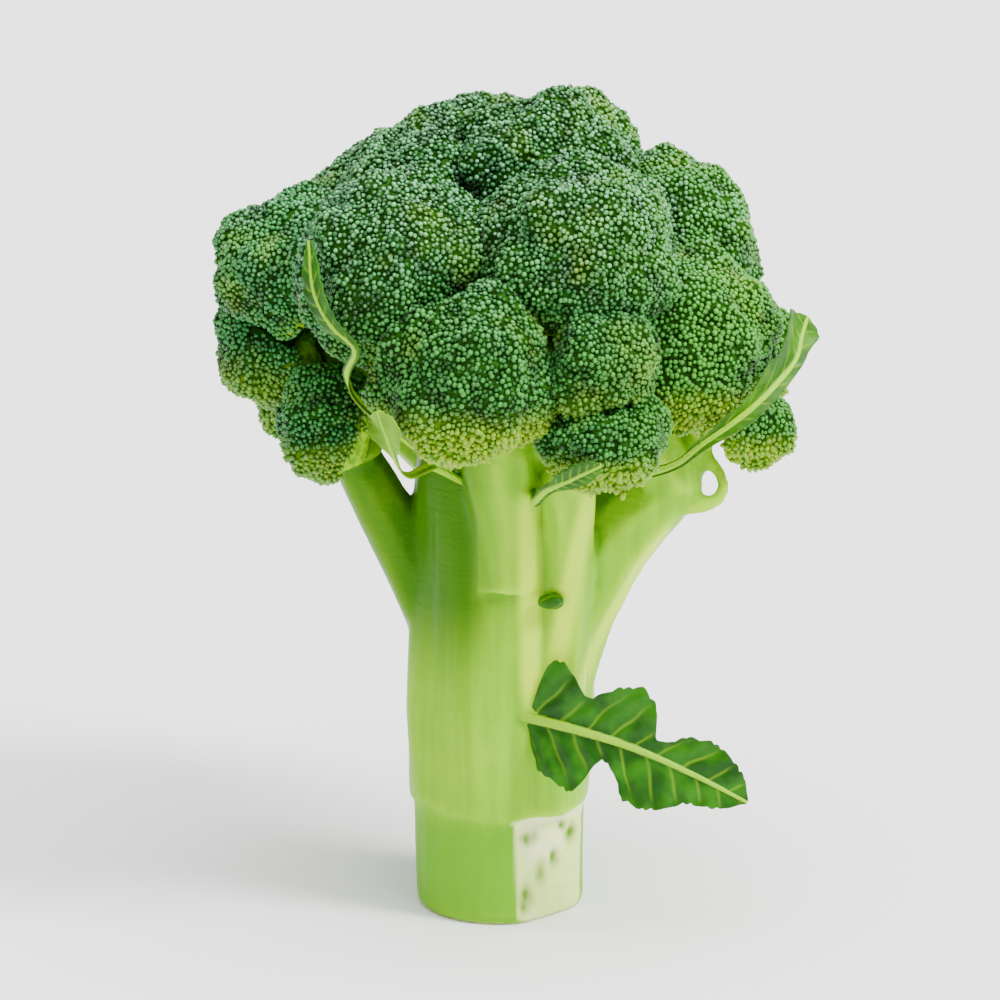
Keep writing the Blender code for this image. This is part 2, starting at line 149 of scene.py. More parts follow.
def points_and_normals(mesh):
    """A mesh's points in millimetres and its normals, as arrays."""
    points = np.empty(len(mesh.vertices) * 3, np.float32)
    normals = np.empty(len(mesh.vertices) * 3, np.float32)
    mesh.vertices.foreach_get("co", points)
    mesh.vertices.foreach_get("normal", normals)
    return points.reshape(-1, 3).astype(float) / MM, normals.reshape(-1, 3).astype(float)


def place_points(mesh, points):
    """Moves a mesh's points to places in millimetres."""
    mesh.vertices.foreach_set("co", (points * MM).astype(np.float32).ravel())
    mesh.update()


def paint(mesh, name, values):
    """Keeps a number for each point, which a material reads by its name."""
    layer = mesh.attributes.new(name, "FLOAT", "POINT")
    layer.data.foreach_set("value", np.clip(values, 0, 1).astype(np.float32))


def ease(low, high, values):
    """0 below low, 1 above high, and smooth between them."""
    share = np.clip((values - low) / (high - low), 0, 1)
    return share * share * (3 - 2 * share)


def mottle(points, size, shift=0.0):
    """Smooth noise from -1 to 1 with patches of the given sizes along X, Y and Z."""
    scaled = points / np.array(size) + shift
    return np.array([noise.noise(Vector(point)) for point in scaled])


def crests(mesh, points, normals, rounds):
    """How far each point stands out from the points round it: above 0 on ridges, below in grooves."""
    edges = np.empty(len(mesh.edges) * 2, np.int32)
    mesh.edges.foreach_get("vertices", edges)
    ends = edges.reshape(-1, 2)
    here = np.concatenate([ends[:, 0], ends[:, 1]])
    there = np.concatenate([ends[:, 1], ends[:, 0]])
    count = np.bincount(here, minlength=len(points))[:, None]
    spread = points.copy()
    for _ in range(rounds):
        sums = [np.bincount(here, spread[there, axis], len(points)) for axis in range(3)]
        spread = np.stack(sums, 1) / count
    return np.einsum("ij,ij->i", points - spread, normals)


def add_node(tree, kind, inputs=(), **settings):
    """Adds a node with its settings, and sets or links its inputs."""
    made = tree.nodes.new(kind)
    for name, value in settings.items():
        setattr(made, name, value)
    for name, value in dict(inputs).items():
        if isinstance(value, bpy.types.NodeSocket):
            tree.links.new(value, made.inputs[name])
        else:
            made.inputs[name].default_value = value
    return made


def linear(code):
    """An sRGB colour such as a6c94a as the four linear numbers of a socket."""
    parts = [int(code[i : i + 2], 16) / 255 for i in (0, 2, 4)]
    return tuple(c / 12.92 if c <= 0.04045 else ((c + 0.055) / 1.055) ** 2.4 for c in parts) + (1.0,)


def scale_for(*sizes):
    """The scale of a pattern whose features have the given sizes in millimetres."""
    scales = tuple(1 / (size * MM) for size in sizes)
    return scales if len(scales) > 1 else scales[0]


def plant_finish(name, **skin):
    """A new material with a Principled shader, and its shader's fixed numbers."""
    made = bpy.data.materials.new(name)
    made.use_nodes = True
    shader = made.node_tree.nodes["Principled BSDF"]
    for socket, value in skin.items():
        shader.inputs[socket.replace("_", " ")].default_value = value
    return made, made.node_tree, shader


def layered(tree, colour, *layers):
    """A colour with others laid over it, in order.

    A layer is its mask and its colour, and between them, where the mask is eased first, the values of
    the mask where the layer starts and where it is full, and the share that it then has.
    """
    for mask, *easing, upper in layers:
        if easing:
            start, full, share = easing
            mask = add_node(
                tree, "ShaderNodeMapRange",
                {"Value": mask, "From Min": start, "From Max": full, "To Max": share},
                interpolation_type="SMOOTHSTEP",
            ).outputs["Result"]
        colour = add_node(
            tree, "ShaderNodeMix", {0: mask, 6: colour, 7: upper}, data_type="RGBA"
        ).outputs[2]
    return colour


# Epidermis with wax bloom over wet flesh: satin, with soft long highlights on the ridges that are partly
# painted into its colour, painted shade in its grooves, and light that sinks in a little. Streaks 2 mm wide
# run up it, and pores and fine cross wrinkles roughen it.
stalk_finish, tree, skin = plant_finish(
    "waxy stalk epidermis", Roughness=0.36, IOR=1.38, Subsurface_Weight=0.2, Subsurface_Scale=0.003,
    Specular_IOR_Level=0.12,
)
skin.inputs["Subsurface Radius"].default_value = (0.8, 1.0, 0.25)
place = add_node(tree, "ShaderNodeTexCoord").outputs["Object"]
tall = add_node(tree, "ShaderNodeMapping", {"Vector": place, "Scale": scale_for(2.1, 2.1, 26)}).outputs[0]
streak = add_node(tree, "ShaderNodeTexNoise", {"Vector": tall, "Scale": 1.0, "Detail": 3.0}).outputs[0]
patch = add_node(
    tree, "ShaderNodeTexNoise", {"Vector": place, "Scale": scale_for(18), "Detail": 2.0}
).outputs[0]
height = add_node(tree, "ShaderNodeSeparateXYZ", {"Vector": place}).outputs["Z"]
crest = add_node(tree, "ShaderNodeAttribute", attribute_name="crest").outputs["Fac"]
scar = add_node(tree, "ShaderNodeAttribute", attribute_name="scar").outputs["Fac"]
strand = add_node(tree, "ShaderNodeAttribute", attribute_name="strand").outputs["Fac"]
cut = add_node(tree, "ShaderNodeAttribute", attribute_name="cut").outputs["Fac"]
pale = add_node(tree, "ShaderNodeAttribute", attribute_name="pale").outputs["Fac"]
shaded = add_node(tree, "ShaderNodeAttribute", attribute_name="shaded").outputs["Fac"]
green = layered(
    tree, linear("74ae00"),
    (streak, 0.3, 0.7, 1.0, linear("84bc00")),
    (patch, 0.4, 0.75, 0.5, linear("94c800")),
    # Painted highlight on the narrow ridges, then painted shade in the grooves between them.
    (crest, 0.5, 0.95, 0.5, linear("a8d804")),
    (crest, 0.45, 0.1, 0.7, linear("4a8600")),
    # Painted highlight on the broad ridges and front bands, partly pale wax.
    (pale, 0.1, 0.9, 0.85, linear("c4e818")),
    (height, *FOOT_DARKENS, 0.75, linear("5aa200")),
    (shaded, linear("2f6600")),
)
pulp = layered(
    tree, linear("f0f8b8"), (patch, 0.42, 0.6, 1.0, linear("d6ea86")), (strand, linear("588a04"))
)
flesh = layered(tree, linear("e8f0a8"), (patch, 0.4, 0.7, 1.0, linear("cbdc7c")))
tree.links.new(layered(tree, green, (scar, pulp), (cut, flesh)), skin.inputs["Base Color"])
fine = add_node(tree, "ShaderNodeMapping", {"Vector": place, "Scale": scale_for(1.1, 1.1, 0.67)}).outputs[0]
grit = add_node(tree, "ShaderNodeTexNoise", {"Vector": fine, "Scale": 1.0, "Detail": 2.0}).outputs[0]
wrinkle = add_node(tree, "ShaderNodeMapping", {"Vector": place, "Scale": scale_for(11, 11, 1.1)}).outputs[0]
wrinkle = add_node(tree, "ShaderNodeTexNoise", {"Vector": wrinkle, "Scale": 1.0, "Detail": 1.0}).outputs[0]
relief = add_node(tree, "ShaderNodeMath", {0: grit, 1: streak}, operation="ADD").outputs[0]
relief = add_node(tree, "ShaderNodeMath", {0: relief, 1: wrinkle}, operation="ADD").outputs[0]
bump = add_node(tree, "ShaderNodeBump", {"Height": relief, "Strength": 0.35, "Distance": 0.0003})
tree.links.new(bump.outputs[0], skin.inputs["Normal"])
dull = add_node(
    tree, "ShaderNodeMapRange",
    {"Value": streak, "From Min": 0.2, "From Max": 0.8, "To Min": 0.30, "To Max": 0.46},
    interpolation_type="SMOOTHSTEP",
).outputs["Result"]
tree.links.new(dull, skin.inputs["Roughness"])

guide = bpy.data.curves.new("branchlet and leaf base", "CURVE")
guide.dimensions = "3D"
guide.bevel_depth = MM
guide.use_fill_caps = True
for knots in (CURLED_BRANCHLET, LEAF_BASE):
    line = guide.splines.new("BEZIER")
    line.bezier_points.add(len(knots) - 1)
    for knot, (spot, radius) in zip(line.bezier_points, knots):
        knot.co = Vector(spot) * MM
        knot.radius = radius
        knot.handle_left_type = knot.handle_right_type = "AUTO"
guide = bpy.data.objects.new("branchlet_and_leaf_base", guide)
bpy.context.scene.collection.objects.link(guide)
graph = bpy.context.evaluated_depsgraph_get()
settled_guide = bpy.data.meshes.new_from_object(guide.evaluated_get(graph))
bpy.data.objects.remove(guide)

stalk = merged_copy("stalk", "stalk_flesh")
bm = bmesh.new()
bm.from_mesh(stalk.data)
bm.from_mesh(settled_guide)
bmesh.ops.remove_doubles(bm, verts=bm.verts, dist=1e-6)
bm.to_mesh(stalk.data)
bm.free()
regrow(stalk, STALK_VOXEL, STALK_SMOOTHING)
points, normals = points_and_normals(stalk.data)
around = np.arctan2(points[:, 1], points[:, 0])
felt = np.exp(-(((points[:, 2] - LEDGE_HEIGHT) / LEDGE_REACH) ** 2))
wave = sum(high * np.sin(number * around + turn) for high, number, turn in LEDGE_WAVES)
points[:, 2] += felt * wave
upright = ease(*CUT_KEPT_FLAT, points[:, 2])
swell = BULGE_HEIGHT * mottle(points, BULGE_SIZE) + STREAK_HEIGHT * mottle(points, STREAK_SIZE, 7.3)
wander = FLUTE_WANDER * mottle(points, (30, 30, 60), 3.9)
ribs = np.cos(FLUTES * around + FLUTE_TWIST * points[:, 2] + wander)
swell += FLUTE_HEIGHT * ribs * ease(*FLUTE_START, points[:, 2]) * ease(*FLUTE_END, points[:, 2])
facing = np.array([math.cos(SCAR_FACING), math.sin(SCAR_FACING)])
beside = points[:, :2] @ np.array([-facing[1], facing[0]])
sliced = ease(SCAR_DEPTH - 0.5, SCAR_DEPTH - 0.2, points[:, :2] @ facing)
sliced *= ease(SCAR_TOP + 0.6, SCAR_TOP - 0.4, points[:, 2] - felt * wave)
strands = np.zeros(len(points))
uneven = STRAND_FRAYING * mottle(points, STRAND_FRAY_SIZE, 5.7)
for across, up, wide, high in SCAR_STRANDS:
    apart = ((beside - across) / wide) ** 2 + ((points[:, 2] - up) / high) ** 2
    strands = np.maximum(strands, np.exp(-apart - uneven))
swell += sliced * (SCAR_WAVES * mottle(points, (3, 3, 3), 2.1) - SCAR_PIT * strands)
points += normals * (swell * np.maximum(upright, sliced))[:, None]
place_points(stalk.data, points)
# Narrow ridges, painted lighter as a highlight, and grooves, painted darker as shade.
paint(stalk.data, "crest", 0.5 + 0.9 * crests(stalk.data, points, normals, NARROW_RIDGES))
# Painted highlight, partly pale wax: paler on the broad ridges, and in bands on the side facing the camera.
pale = 0.3 * ease(0.2, 1.2, crests(stalk.data, points, normals, BROAD_RIDGES))
for (foot, top), wide, (start, end) in PALE_BANDS:
    share = np.clip((points[:, 2] - start) / (end - start), 0, 1)
    apart = (points[:, 0] - foot - (top - foot) * share**1.4 - 0.5 * mottle(points, (8, 8, 18), wide)) / wide
    ended = ease(start - 8, start + 6, points[:, 2]) * ease(end + 6, end - 4, points[:, 2])
    pale = np.maximum(pale, np.exp(-(apart**2)) * ended * ease(0.1, -0.3, normals[:, 1]))
paint(stalk.data, "pale", pale)
paint(stalk.data, "scar", sliced)
paint(stalk.data, "strand", strands)
sideways, away, upwards = SHADED_SIDE
shaded = ease(*sideways, points[:, 0]) * ease(*upwards, points[:, 2]) * ease(*away, points[:, 1])
paint(stalk.data, "shaded", shaded * (0.92 - 0.5 * pale))
paint(stalk.data, "cut", ease(0.5, 0.2, points[:, 2]) * ease(-0.3, -0.7, normals[:, 2]))
stalk.data.materials.append(stalk_finish)
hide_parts("stalk")
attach(stalk, "root")

# The florets
# Each is a spray of branchlets that ends in a dome of closed flower buds about 1.2 mm wide, packed side
# by side. The domes grew against each other, so they meet in creases. Where a dome's rim curls under,
# the buds stop and the pale branchlets fan down to the stem.

# Middle of the dome and its radius, as in the solids.
FLORETS = {
    "floret_top_left": (-12, 5, 145, 25.0),
    "floret_top_right": (9, 1, 150.5, 25.0),
    "floret_top_back": (-2, 20, 146.5, 25.0),
    "floret_shoulder_right": (30, 5.5, 137, 24.5),
    "floret_shoulder_back": (26, 27, 130, 23.0),
    "floret_upper_left": (-19, -20, 140, 23.0),
    "floret_upper_front": (15, -23, 144, 22.5),
    "floret_front": (-6, -35, 124, 21.0),
    "floret_low_front": (20.5, -36, 111, 14.0),
    "floret_right": (35, -14, 125, 22.5),
    "floret_far_right": (41, 6, 118, 20.0),
    "floret_low_right": (49, -3, 106.5, 12.0),
    "floret_left_high": (-41, 3, 135.5, 18.5),
    "floret_left": (-44, 5, 122, 16.0),
    "floret_low_left": (-35, -11, 107, 12.5),
    "floret_back_left": (-23, 27, 136, 23.0),
    "floret_back": (4, 41, 127, 23.0),
    "floret_back_right": (33, 30, 115, 20.5),
    "floret_low_back_left": (-36, 28, 111, 20.0),
    "floret_low_back": (-11, 42, 105, 19.0),
    "floret_low_back_right": (17, 43, 103, 18.0),
    "floret_mid_front": (19, -36, 126.5, 14.5),
}
BRANCH_CORE = np.array((3.0, 2.0, 88.0))  # where the lines of the florets' axes meet
DOME_VOXEL = 0.95
DOME_SMOOTHING = 14
BRANCHLET_SPACING = 3.0
BRANCHLET_RELIEF = 0.7
BUD_ROOM = 1.3  # how far the skin of a dome lies inside its outline, for the buds to stand on
BUD_SIDES = 6
BUD_WIDTH = 1.16
BUD_SIZES = (0.41, 0.65)  # scale of the smallest and largest bud, whose outline is nearly 2 wide
BUD_LEAN = 0.6  # radians from upright, at most
BUD_SPACING = 0.82
BUD_DENSITY = 3000000.0  # for a square metre: more than there is room for, so the spacing decides
RIM_STRETCH = 0.9  # how much longer the buds at the rim are
CLUSTER_SIZE = (11.5, 3.0)  # width and height of the mounds that a dome swells into
TUFT_SIZE = (4.4, 1.2)  # of the smaller mounds on them
BUD_OUTLINE = ((0.0, -0.65), (0.95, -0.15), (0.8, 0.65), (0.0, 1.15))
YOUNG_HEIGHTS = (124, 112)  # below these heights the rims turn lime
YOUNG_ACROSS = (-36, -22)  # and less so to the left of these
# Where the colours of the crown change, in metres: across to the right, for the painted light on the lit
# side, and to the left, and upwards, for the painted highlight on the crown's top.
PAINTED_LIT_SIDE = (0.012, 0.045)
FAR_SIDE = (-0.028, -0.046)
PAINTED_TOP_HIGHLIGHT = (0.12, 0.165)
TOP_HIGHLIGHT_TURNS_BLUE = (0.125, 0.165)

# Wax-bloomed sepals of closed buds: painted shade in deep green low on each bud, between them and in the
# creases between the tufts, blue-white bloom with a painted highlight on the tops, painted light on the right
# side, and yellower where the buds are young. The bud's own height and its draw of tone set the colour.
bud_finish, tree, skin = plant_finish("bloomed bud sepals", Roughness=0.34, IOR=1.42, Specular_IOR_Level=0.4)
rise = add_node(tree, "ShaderNodeAttribute", attribute_name="rise").outputs["Fac"]
tone = add_node(tree, "ShaderNodeAttribute", attribute_name="tone").outputs["Fac"]
youth = add_node(tree, "ShaderNodeAttribute", attribute_name="youth").outputs["Fac"]
mound = add_node(tree, "ShaderNodeAttribute", attribute_name="mound").outputs["Fac"]
place = add_node(tree, "ShaderNodeTexCoord").outputs["Object"]
across, _, height = add_node(tree, "ShaderNodeSeparateXYZ", {"Vector": place}).outputs
region = add_node(
    tree, "ShaderNodeTexNoise", {"Vector": place, "Scale": scale_for(26), "Detail": 1.0}
).outputs[0]
# Painted shade for the bud bases and the gaps between buds, lighter on the painted lit side.
painted_shade_green = layered(tree, linear("071f02"), (across, *PAINTED_LIT_SIDE, 1.0, linear("16440a")))
sepal = layered(
    tree, linear("0f4c0a"),
    (tone, 0.1, 0.9, 1.0, linear("267820")),
    # Painted light: the sepals are lighter on the right, the lit side.
    (across, *PAINTED_LIT_SIDE, 0.8, linear("469420")),
    (across, *FAR_SIDE, 0.5, linear("2a8a3c")),
    (region, 0.45, 0.65, 0.3, linear("17633c")),
    # Painted shade low on each bud and in the creases between the tufts.
    (rise, 0.75, 0.4, 0.9, painted_shade_green),
    (mound, 0.5, 0.12, 0.7, linear("082803")),
)
# Painted highlight: the bloom's colour turns bluer towards the crown's top.
bloom_and_highlight_colour = layered(tree, linear("6cb05c"), (height, *TOP_HIGHLIGHT_TURNS_BLUE, 1.0, linear("88c69c")))
young = layered(
    tree, linear("3d7400"),
    (rise, 0.3, 0.95, 1.0, linear("80ac00")),
    (tone, 0.4, 1.0, 0.6, linear("a0b800")),
)
# Wax bloom on the tops of the buds, on some more than on others, with a painted highlight on each bud's
# top that is strongest on the crown's top.
bloom_and_highlight_share = 1.0
for cause, start, full, least, most in (
    (rise, 0.6, 1.0, 0.0, 0.65),
    (tone, 0.25, 0.95, 0.15, 1.0),
    (height, *PAINTED_TOP_HIGHLIGHT, 0.38, 1.3),
):
    share = add_node(
        tree, "ShaderNodeMapRange",
        {"Value": cause, "From Min": start, "From Max": full, "To Min": least, "To Max": most},
        interpolation_type="SMOOTHSTEP",
    ).outputs["Result"]
    bloom_and_highlight_share = add_node(tree, "ShaderNodeMath", {0: bloom_and_highlight_share, 1: share}, operation="MULTIPLY").outputs[0]
tree.links.new(layered(tree, sepal, (bloom_and_highlight_share, bloom_and_highlight_colour), (youth, young)), skin.inputs["Base Color"])
dull = add_node(
    tree, "ShaderNodeMapRange", {"Value": tone, "To Min": 0.28, "To Max": 0.5},
    interpolation_type="SMOOTHSTEP",
).outputs["Result"]
tree.links.new(dull, skin.inputs["Roughness"])

# Soft young stems, yellow-green where they fan out and deep green in the shade under the buds.
branchlet_finish, tree, skin = plant_finish(
    "branchlet skin", Roughness=0.6, IOR=1.4, Specular_IOR_Level=0.06, Subsurface_Weight=0.15,
    Subsurface_Scale=0.003,
)
place = add_node(tree, "ShaderNodeTexCoord").outputs["Object"]
grain = add_node(
    tree, "ShaderNodeTexNoise", {"Vector": place, "Scale": scale_for(2.4), "Detail": 3.0}
).outputs[0]
under = add_node(tree, "ShaderNodeAttribute", attribute_name="under").outputs["Fac"]
stem = layered(tree, linear("64a000"), (grain, 0.35, 0.65, 1.0, linear("98c800")))
# Painted shade where the skin lies under the buds.
painted_shade_green = layered(tree, linear("0c2a00"), (grain, 0.35, 0.65, 1.0, linear("1c4a04")))
tree.links.new(layered(tree, painted_shade_green, (under, stem)), skin.inputs["Base Color"])
bump = add_node(tree, "ShaderNodeBump", {"Height": grain, "Strength": 0.5, "Distance": 0.0004})
tree.links.new(bump.outputs[0], skin.inputs["Normal"])

# One closed bud: a small egg, wider where its sepals overlap.
bm = bmesh.new()
rings = []
for ring_radius, ring_height in BUD_OUTLINE:
    sides = BUD_SIDES if ring_radius else 1
    ring = []
    for side in range(sides):
        turn = math.tau * side / sides
        reach = ring_radius * (1 + 0.07 * math.cos(4 * turn))
        ring.append(bm.verts.new((reach * math.cos(turn), reach * math.sin(turn), ring_height)))
    rings.append(ring)
for low_ring, high_ring in zip(rings, rings[1:]):
    for side in range(BUD_SIDES):
        corners = [low_ring[side % len(low_ring)], low_ring[(side + 1) % len(low_ring)]]
        corners += [high_ring[(side + 1) % len(high_ring)], high_ring[side % len(high_ring)]]
        bm.faces.new(list(dict.fromkeys(corners)))
bmesh.ops.recalc_face_normals(bm, faces=bm.faces)
bud_mesh = bpy.data.meshes.new("closed bud")
bm.to_mesh(bud_mesh)
bm.free()
bud_mesh.shade_smooth()
heights = np.array([vertex.co.z for vertex in bud_mesh.vertices])
paint(bud_mesh, "rise", (heights - heights.min()) / np.ptp(heights))
bud = bpy.data.objects.new("closed_bud", bud_mesh)
bpy.context.scene.collection.objects.link(bud)


def bud_tree():
    """Geometry nodes that swell a dome into clusters and pack buds over its crown."""
    tree = bpy.data.node_groups.new("packed buds", "GeometryNodeTree")
    for name, kind in (
        ("Geometry", "NodeSocketGeometry"),
        ("Bud", "NodeSocketObject"),
        ("Bud Width", "NodeSocketFloat"),
        ("Bud Spacing", "NodeSocketFloat"),
        ("Cluster Width", "NodeSocketFloat"),
        ("Cluster Height", "NodeSocketFloat"),
        ("Tuft Width", "NodeSocketFloat"),
        ("Tuft Height", "NodeSocketFloat"),
        ("Seed", "NodeSocketInt"),
        ("Bud Finish", "NodeSocketMaterial"),
        ("Skin Finish", "NodeSocketMaterial"),
    ):
        tree.interface.new_socket(name, in_out="INPUT", socket_type=kind)
    tree.interface.new_socket("Geometry", in_out="OUTPUT", socket_type="NodeSocketGeometry")
    given = add_node(tree, "NodeGroupInput").outputs

    crown = add_node(tree, "GeometryNodeInputNamedAttribute", {"Name": "crown"}, data_type="FLOAT")
    crown = crown.outputs["Attribute"]
    place = add_node(tree, "GeometryNodeInputPosition").outputs[0]
    normal = add_node(tree, "GeometryNodeInputNormal").outputs[0]
    mounds = []
    for wide, tall in (("Cluster Width", "Cluster Height"), ("Tuft Width", "Tuft Height")):
        per_metre = add_node(tree, "ShaderNodeMath", {0: 1.0, 1: given[wide]}, operation="DIVIDE").outputs[0]
        cells = add_node(
            tree, "ShaderNodeTexVoronoi", {"Vector": place, "Scale": per_metre, "Randomness": 0.9},
            feature="SMOOTH_F1",
        ).outputs["Distance"]
        mound = add_node(
            tree, "ShaderNodeMapRange",
            {"Value": cells, "From Min": 0.15, "From Max": 0.75, "To Min": 0.5, "To Max": -0.5},
            interpolation_type="SMOOTHSTEP",
        ).outputs["Result"]
        mounds.append(
            add_node(tree, "ShaderNodeMath", {0: mound, 1: given[tall]}, operation="MULTIPLY").outputs[0]
        )
    # The tufts, which come last, also mark the creases between them, where the buds' colour gets painted
    # shade.
    above = add_node(tree, "ShaderNodeMath", {0: mound, 1: 0.5}, operation="ADD").outputs[0]
    marked = add_node(
        tree, "GeometryNodeStoreNamedAttribute",
        {"Geometry": given["Geometry"], "Name": "mound", "Value": above}, data_type="FLOAT",
    ).outputs[0]
    height = add_node(tree, "ShaderNodeMath", {0: mounds[0], 1: mounds[1]}, operation="ADD").outputs[0]
    height = add_node(tree, "ShaderNodeMath", {0: height, 1: crown}, operation="MULTIPLY")
    offset = add_node(
        tree, "ShaderNodeVectorMath", {0: normal, "Scale": height.outputs[0]}, operation="SCALE"
    ).outputs[0]
    swollen = add_node(
        tree, "GeometryNodeSetPosition", {"Geometry": marked, "Offset": offset}
    ).outputs[0]

    spots = add_node(
        tree, "GeometryNodeDistributePointsOnFaces",
        {
            "Mesh": swollen, "Distance Min": given["Bud Spacing"], "Density Max": BUD_DENSITY,
            "Density Factor": crown, "Seed": given["Seed"],
        },
        distribute_method="POISSON",
    )
    tilt = add_node(
        tree, "FunctionNodeRandomValue",
        {"Min": (-BUD_LEAN, -BUD_LEAN, 0.0), "Max": (BUD_LEAN, BUD_LEAN, math.tau), "Seed": given["Seed"]},
        data_type="FLOAT_VECTOR",
    ).outputs["Value"]
    tilt = add_node(tree, "FunctionNodeEulerToRotation", {"Euler": tilt}).outputs[0]
    turned = add_node(
        tree, "FunctionNodeRotateRotation",
        {"Rotation": spots.outputs["Rotation"], "Rotate By": tilt}, rotation_space="LOCAL",
    ).outputs[0]
    size = add_node(
        tree, "FunctionNodeRandomValue", {2: BUD_SIZES[0], 3: BUD_SIZES[1], "Seed": given["Seed"]},
        data_type="FLOAT",
    ).outputs[1]
    size = add_node(tree, "ShaderNodeMath", {0: size, 1: given["Bud Width"]}, operation="MULTIPLY").outputs[0]
    rim = add_node(tree, "GeometryNodeInputNamedAttribute", {"Name": "rim"}, data_type="FLOAT").outputs[0]
    tall = add_node(
        tree, "ShaderNodeMath", {0: rim, 1: RIM_STRETCH, 2: 1.0}, operation="MULTIPLY_ADD"
    ).outputs[0]
    tall = add_node(tree, "ShaderNodeMath", {0: tall, 1: size}, operation="MULTIPLY").outputs[0]
    size = add_node(tree, "ShaderNodeCombineXYZ", {"X": size, "Y": size, "Z": tall})
    shape = add_node(tree, "GeometryNodeObjectInfo", {"Object": given["Bud"]}).outputs["Geometry"]
    buds = add_node(
        tree, "GeometryNodeInstanceOnPoints",
        {
            "Points": spots.outputs["Points"], "Instance": shape, "Rotation": turned,
            "Scale": size.outputs[0],
        },
    ).outputs[0]

    tone = add_node(
        tree, "FunctionNodeRandomValue", {2: 0.0, 3: 1.0, "Seed": 7}, data_type="FLOAT"
    ).outputs[1]
    buds = add_node(
        tree, "GeometryNodeStoreNamedAttribute", {"Geometry": buds, "Name": "tone", "Value": tone},
        data_type="FLOAT", domain="INSTANCE",
    ).outputs[0]
    drift = add_node(
        tree, "ShaderNodeTexNoise",
        {"Vector": place, "Scale": scale_for(13.3), "Detail": 2.0, "Roughness": 0.6},
    ).outputs[0]
    drift = add_node(
        tree, "ShaderNodeMapRange",
        {"Value": drift, "From Min": 0.5, "From Max": 0.76, "To Min": 0.0, "To Max": 0.32},
        interpolation_type="SMOOTHSTEP",
    ).outputs["Result"]
    youth = add_node(tree, "ShaderNodeMath", {0: drift, 1: rim}, operation="MAXIMUM").outputs[0]
    buds = add_node(
        tree, "GeometryNodeStoreNamedAttribute", {"Geometry": buds, "Name": "youth", "Value": youth},
        data_type="FLOAT", domain="INSTANCE",
    ).outputs[0]
    buds = add_node(tree, "GeometryNodeRealizeInstances", {"Geometry": buds}).outputs[0]
    buds = add_node(
        tree, "GeometryNodeSetMaterial", {"Geometry": buds, "Material": given["Bud Finish"]}
    ).outputs[0]
    skin = add_node(
        tree, "GeometryNodeSetMaterial", {"Geometry": swollen, "Material": given["Skin Finish"]}
    ).outputs[0]
    both = add_node(tree, "GeometryNodeJoinGeometry")
    tree.links.new(skin, both.inputs[0])
    tree.links.new(buds, both.inputs[0])
    add_node(tree, "NodeGroupOutput", {"Geometry": both.outputs[0]})
    return tree


packed_buds = bud_tree()
sockets = {item.name: item.identifier for item in packed_buds.interface.items_tree if item.in_out == "INPUT"}
for number, (node, (x, y, z, radius)) in enumerate(FLORETS.items()):
    floret = merged_copy(node, node + "_in_bud")
    regrow(floret, DOME_VOXEL, DOME_SMOOTHING)
    points, normals = points_and_normals(floret.data)
    middle = np.array((x, y, z), float)
    out = (middle - BRANCH_CORE) / np.linalg.norm(middle - BRANCH_CORE)
    arms = points - middle
    reach = np.linalg.norm(arms, axis=1)
    along = arms @ out / reach
    ragged = 0.14 * mottle(points, (5, 5, 5), number)
    crown = ease(0.70 * radius, 0.78 * radius, reach) * ease(-0.44, -0.30, along)
    under = ease(-0.12, -0.40, along)
    low = ease(*YOUNG_HEIGHTS, points[:, 2])
    drooping = ease(-0.02, -0.46, arms[:, 2] / reach + ragged) * low
    rim = np.maximum(ease(-0.12, -0.36, along) * (0.2 + 0.8 * low), drooping)
    rim *= 0.5 + 0.5 * ease(*YOUNG_ACROSS, points[:, 0])
    side = np.cross(out, (0.31, 0.22, 0.92))
    side /= np.linalg.norm(side)
    turn = np.arctan2(arms @ np.cross(out, side), arms @ side)
    count = round(math.tau * 0.8 * radius / BRANCHLET_SPACING)
    warp = 0.5 * mottle(points, (6, 6, 6), number)
    ridge = np.abs(np.cos((turn * count + warp * 3) / 2)) ** 0.7
    raised = BRANCHLET_RELIEF * (ridge - 0.6) * under * ease(0.3, 0.5, reach / radius)
    points += normals * raised[:, None]
    points -= arms / reach[:, None] * (BUD_ROOM * ease(0.84, 0.98, reach / radius))[:, None]
    place_points(floret.data, points)
    paint(floret.data, "crown", crown)
    paint(floret.data, "under", np.maximum(under, 0.6 * rim))
    paint(floret.data, "rim", 0.9 * rim)
    packing = floret.modifiers.new("buds", "NODES")
    packing.node_group = packed_buds
    packing[sockets["Bud"]] = bud
    packing[sockets["Bud Width"]] = BUD_WIDTH * MM
    packing[sockets["Bud Spacing"]] = BUD_SPACING * MM
    packing[sockets["Cluster Width"]] = CLUSTER_SIZE[0] * MM
    packing[sockets["Cluster Height"]] = CLUSTER_SIZE[1] * MM
    packing[sockets["Tuft Width"]] = TUFT_SIZE[0] * MM
    packing[sockets["Tuft Height"]] = TUFT_SIZE[1] * MM
    packing[sockets["Seed"]] = number
    packing[sockets["Bud Finish"]] = bud_finish
    packing[sockets["Skin Finish"]] = branchlet_finish
    settle(floret)
    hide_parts(node)
    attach(floret, "root")
bpy.data.objects.remove(bud)

# The leaves and bracts
# The small last leaves of the stem: thin crinkled blades with a cut, toothed edge on a thick pale
# midrib, from which finer veins branch. The narrow ones hug the crown, and the small bracts under it
# are scales that once covered a floret.

LEAF_GRAIN = 0.28  # size of the blade's mesh
BLADE_THICKNESS = 0.42
SIDE_VEIN_WIDTH = 0.24
SIDE_VEIN_HEIGHT = 0.12  # on each face of the blade
SIDE_VEIN_SINK = 0.25
PUCKER = 0.3  # how far the blade bulges between two side veins
